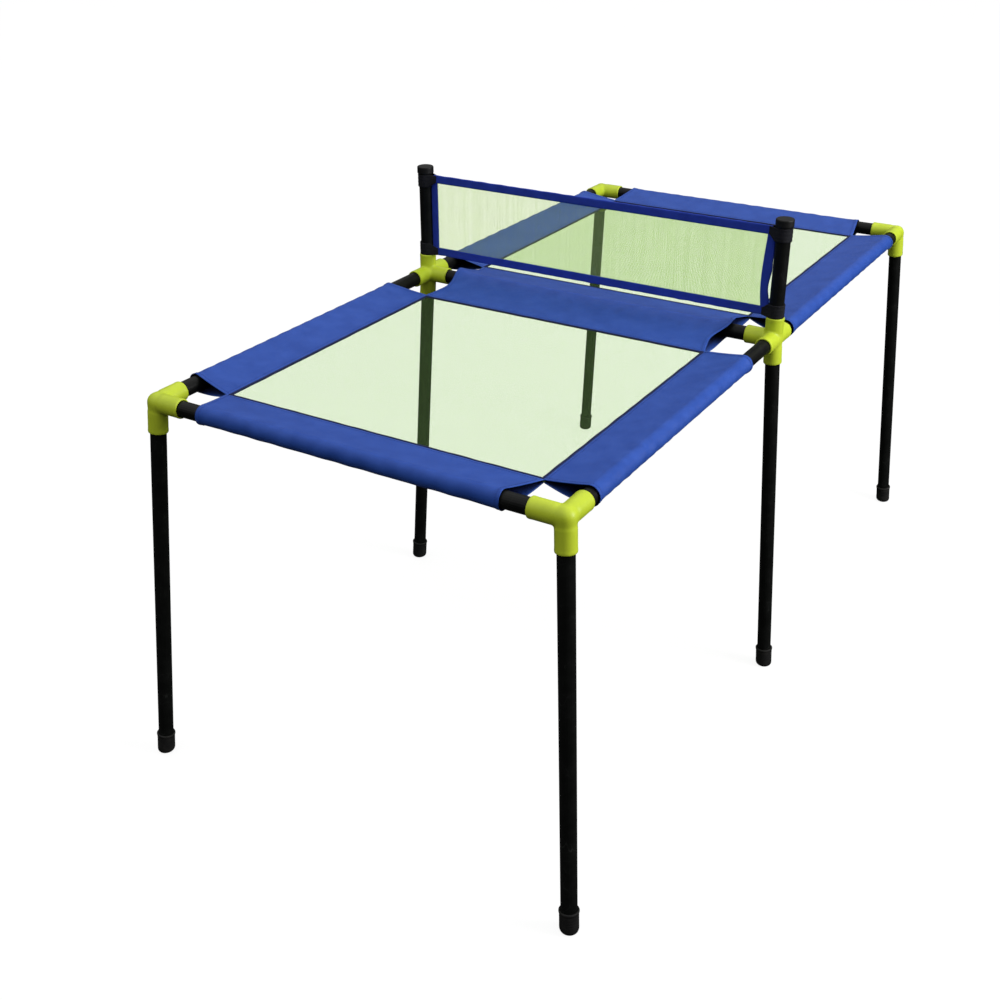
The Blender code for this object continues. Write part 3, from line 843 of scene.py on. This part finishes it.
def end_tapes(low, high, inner):
    """The two upright tapes, between two heights above the tubes and at a distance from the middle."""
    for side, side_name in ((-1, "left"), (1, "right")):
        basis = Matrix(((0, 0, side), (0, -side, 0), (1, 0, 0))).to_4x4()

        def draw_in(x, z, side=side):
            height = (z - TUBE_Z - low) / (high - low)
            outer = min(max((side * x - inner) / END_TAPE, 0.0), 1.0)
            return -side * (bow(side, height) * (1 - outer) + slit(side, height) * outer)
        tape("folded_tape_" + side_name, "net_tape_" + side_name, END_TAPE, lambda *place: (low, high),
             Matrix.Translation((side * inner, 0, TUBE_Z)) @ basis, 33 + side, draw_in)


def net_panel(inner):
    """The knitted net, drawn in at its ends as the end tapes are."""
    rows, columns = 161, 49
    height = NET_TOP - NET_BOTTOM - 2 * NET_HEM
    xs = np.linspace(-1, 1, rows)
    zs = np.linspace(0, 1, columns)
    share, up = np.meshgrid(xs, zs, indexing="ij")
    pull = np.array([[bow(1 if x > 0 else -1, z) for z in zs] for x in xs])
    x = share * (inner + NET_TUCK) - np.sign(share) * pull * np.abs(share) ** 3
    z = TUBE_Z + NET_BOTTOM + NET_HEM + up * height
    y = 1.6 * MM * ripple(x / 0.17, z / 0.2, 40) * np.sin(math.pi * up) * (1 - share ** 4)
    obj = piece("knit_net", np.stack([x, y, z], -1).reshape(-1, 3), grid_faces(rows, columns),
                NET_MESH, "net_mesh", "net_assembly", np.stack([x, z], -1).reshape(-1, 2))
    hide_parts("net_mesh")


def net():
    reach = HALF_WIDTH - STRAP_REACH + TAPE_LAP
    inner = HALF_WIDTH - TAPE_INNER
    down = Matrix.Rotation(math.pi, 4, "X")
    tape("folded_tape_top", "net_tape_top", TAPE, lambda *place: (-reach, reach),
         Matrix.Translation((0, 0, TUBE_Z + NET_TOP - TAPE)), 31)
    tape("folded_tape_bottom", "net_tape_bottom", TAPE, lambda *place: (-reach, reach),
         Matrix.Translation((0, 0, TUBE_Z + NET_BOTTOM + TAPE)) @ down, 32)
    end_tapes(NET_BOTTOM + TAPE * 0.5, NET_TOP - TAPE * 0.5, inner)
    net_panel(inner)


def straps():
    """Webbing loops round the posts, narrowing to where they are sewn to the net's corners."""
    levels = {"top": (POST_TOP - CAP - STRAP, POST_TOP - CAP, NET_TOP - TAPE, NET_TOP),
              "bottom": (POST_ARM, POST_ARM + STRAP, NET_BOTTOM, NET_BOTTOM + TAPE)}
    upright = Matrix.Rotation(math.radians(-90), 4, "Y")
    reach = STRAP_REACH + STRAP_LAP
    section = wrap_path(STRAP_R, reach, None, 2.0 * MM, 1.2 * MM)
    for side, side_name, turn in ((-1, "left", -90), (1, "right", 90)):
        for level, (low, high, low_tape, high_tape) in levels.items():
            def ends(across, up, low=low, high=high, low_tape=low_tape, high_tape=high_tape):
                share = min(max((across - STRAP_NARROWS) / (reach - STRAP_NARROWS), 0.0), 1.0)
                share = share * share * (3 - 2 * share)
                return (low + STRAP_HEM + (low_tape - low) * share,
                        high - STRAP_HEM + (high_tape - high) * share)

            def lift(x, across, up, s, share):
                edge = np.minimum(share, 1 - share)
                return 0.15 * MM * np.sin(share * math.pi * 7) - 0.3 * MM * np.exp(-edge / 0.03)
            matrix = (Matrix.Translation((side * HALF_WIDTH, 0, TUBE_Z))
                      @ Matrix.Rotation(math.radians(turn), 4, "Z") @ upright)
            obj = swept_cloth(f"webbing_{level}_{side_name}", section, ends, 1.2 * MM, lift, matrix,
                              (WEBBING, "black_webbing"), 1.1 * MM, "net_assembly")
            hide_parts(f"net_strap_{level}_{side_name}")


# Studio ---------------------------------------------------------------------

def studio_floor():
    """A pale floor that is flat under the table and curves up into a round wall."""
    paint = Shader("studio_floor")
    grain = paint.noise(paint.place(), 3.0, 3)
    paint.principled(Base_Color=paint.mix(grain, (0.115, 0.115, 0.115, 1), (0.125, 0.125, 0.125, 1)),
                     Roughness=0.9, Emission_Color=(1, 1, 1, 1), Emission_Strength=0.905,
                     Specular_IOR_Level=0.0)
    flat, rise, top, spokes = 7.0, 4.0, 14.0, 64
    bend = np.linspace(0, math.pi / 2, 13)
    reach = np.append(flat + rise * np.sin(bend), flat + rise)
    height = np.append(rise * (1 - np.cos(bend)), top)
    turn = np.arange(spokes) * math.tau / spokes
    rings = np.stack([np.outer(reach, np.cos(turn)), np.outer(reach, np.sin(turn)),
                      np.outer(height, np.ones(spokes))], -1)
    at = np.arange(rings.shape[0] * spokes).reshape(-1, spokes)
    beside = np.roll(at, -1, 1)
    walls = np.stack([at[:-1], at[1:], beside[1:], beside[:-1]], -1).reshape(-1, 4)
    mesh = bpy.data.meshes.new("studio_floor")
    mesh.from_pydata(rings.reshape(-1, 3).tolist(), [], [at[0].tolist()] + walls.tolist())
    mesh.materials.append(paint.material)
    mesh.shade_smooth()
    ground = bpy.data.objects.new("studio_floor", mesh)
    bpy.context.scene.collection.objects.link(ground)
    ground.visible_diffuse = False
    ground.visible_glossy = False
    ground.visible_shadow = False


def sky():
    """A soft white sky, nearly dark at the horizon and bright overhead."""
    world = bpy.data.worlds.new("studio")
    bpy.context.scene.world = world
    world.use_nodes = True
    tree = world.node_tree
    background = tree.nodes["Background"]
    where = tree.nodes.new("ShaderNodeTexCoord")
    parts = tree.nodes.new("ShaderNodeSeparateXYZ")
    level = tree.nodes.new("ShaderNodeMapRange")
    level.interpolation_type = "SMOOTHSTEP"
    for socket, value in (("From Min", 0.08), ("From Max", 0.9), ("To Min", 0.03), ("To Max", 1.13)):
        level.inputs[socket].default_value = value
    tree.links.new(where.outputs["Generated"], parts.inputs[0])
    tree.links.new(parts.outputs["Z"], level.inputs["Value"])
    tree.links.new(level.outputs[0], background.inputs["Strength"])
    background.inputs["Color"].default_value = (1, 1, 1, 1)


def lamp(name, spot, size, power):
    """A round soft lamp aimed at the middle of the table."""
    light = bpy.data.lights.new(name, "AREA")
    light.shape = "DISK"
    light.size = size
    light.energy = power
    obj = bpy.data.objects.new(name, light)
    bpy.context.scene.collection.objects.link(obj)
    obj.location = spot
    obj.rotation_mode = "QUATERNION"
    obj.rotation_quaternion = (Vector((0, 0, 0.5)) - Vector(spot)).to_track_quat("-Z", "Y")


def camera():
    view = bpy.data.cameras.new("camera")
    view.sensor_width = 36.0
    view.lens = 46.08
    obj = bpy.data.objects.new("camera", view)
    bpy.context.scene.collection.objects.link(obj)
    obj.location = (0.8965, -1.7496, 1.2580)
    obj.rotation_euler = (math.radians(62.04), math.radians(0.17), math.radians(31.23))
    bpy.context.scene.camera = obj
    bpy.context.scene.view_settings.view_transform = "Standard"


def studio():
    studio_floor()
    sky()
    lamp("key", (2.4, 0.3, 1.4), 1.2, 50.0)
    lamp("fill", (-1.5, -2.2, 1.6), 1.6, 2.0)
    camera()


connectors()
feet()
caps()
tubes()
sleeves()
playing_surfaces()
net()
straps()
studio()
